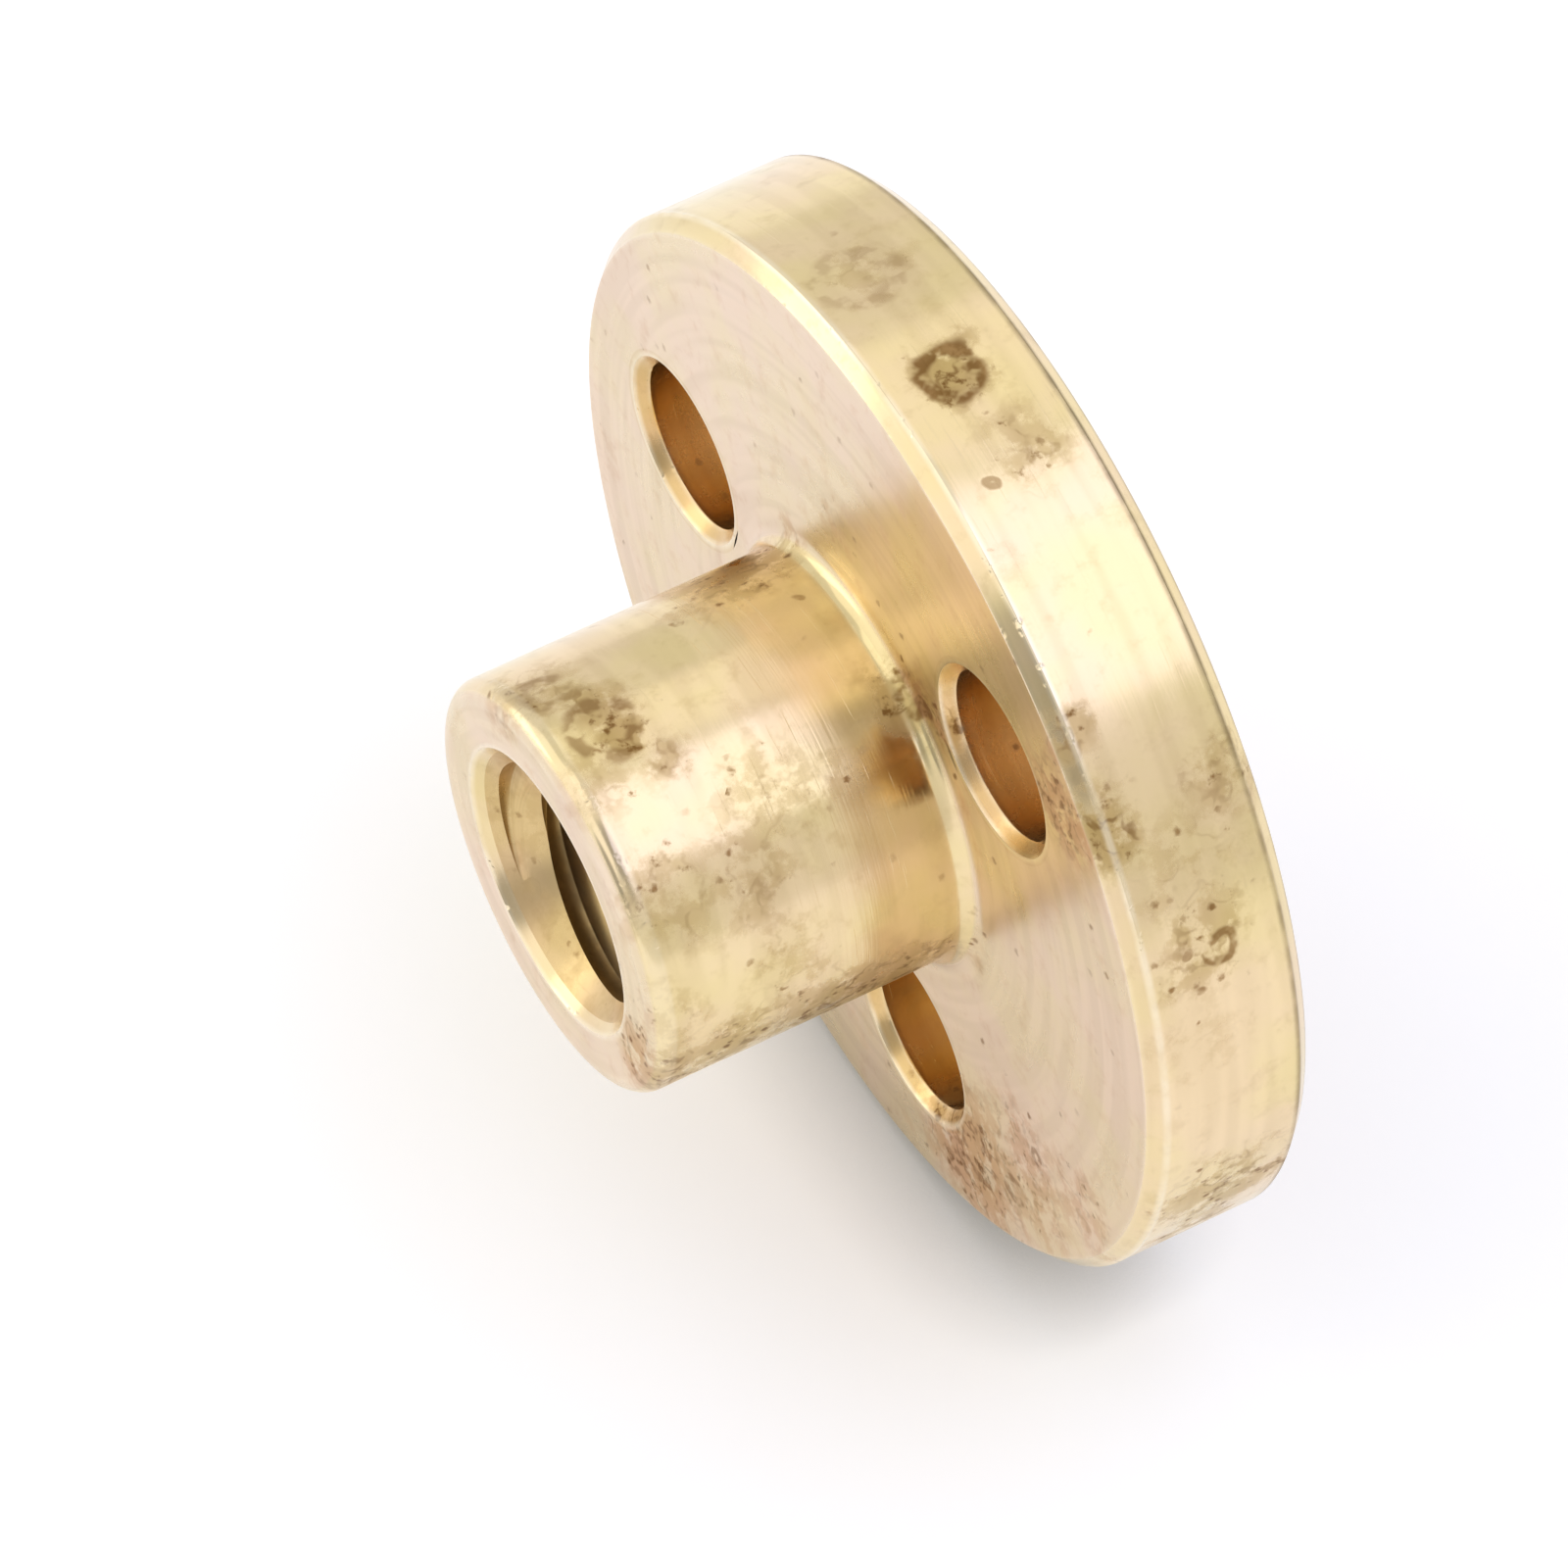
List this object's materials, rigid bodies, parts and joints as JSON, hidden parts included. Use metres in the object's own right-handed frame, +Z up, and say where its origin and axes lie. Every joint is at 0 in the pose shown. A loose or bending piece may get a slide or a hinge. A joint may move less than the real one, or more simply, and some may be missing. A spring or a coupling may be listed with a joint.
{
  "type": "lead screw nut",
  "caption": "Flanged brass lead screw nut: a short round hub on a round drilled flange, bored and threaded through for a two-start trapezoidal screw, turning its rotation into travel.",
  "frame": {"origin": "on the screw's axis, in the flange face that the hub stands on", "axes": "+X along the bore, from the hub's nose towards the flange's back; +Z up, with the lead screw level; the first flange hole is turned 43 degrees from straight up towards -Y"},
  "size_m": [0.0104, 0.022, 0.022],
  "materials": {
    "turned_brass": "turned and lightly polished, pale gold, with brown speckles and olive tarnish blotches"
  },
  "bodies": {
    "root": {"nut": "turned_brass"}
  },
  "joints": []
}
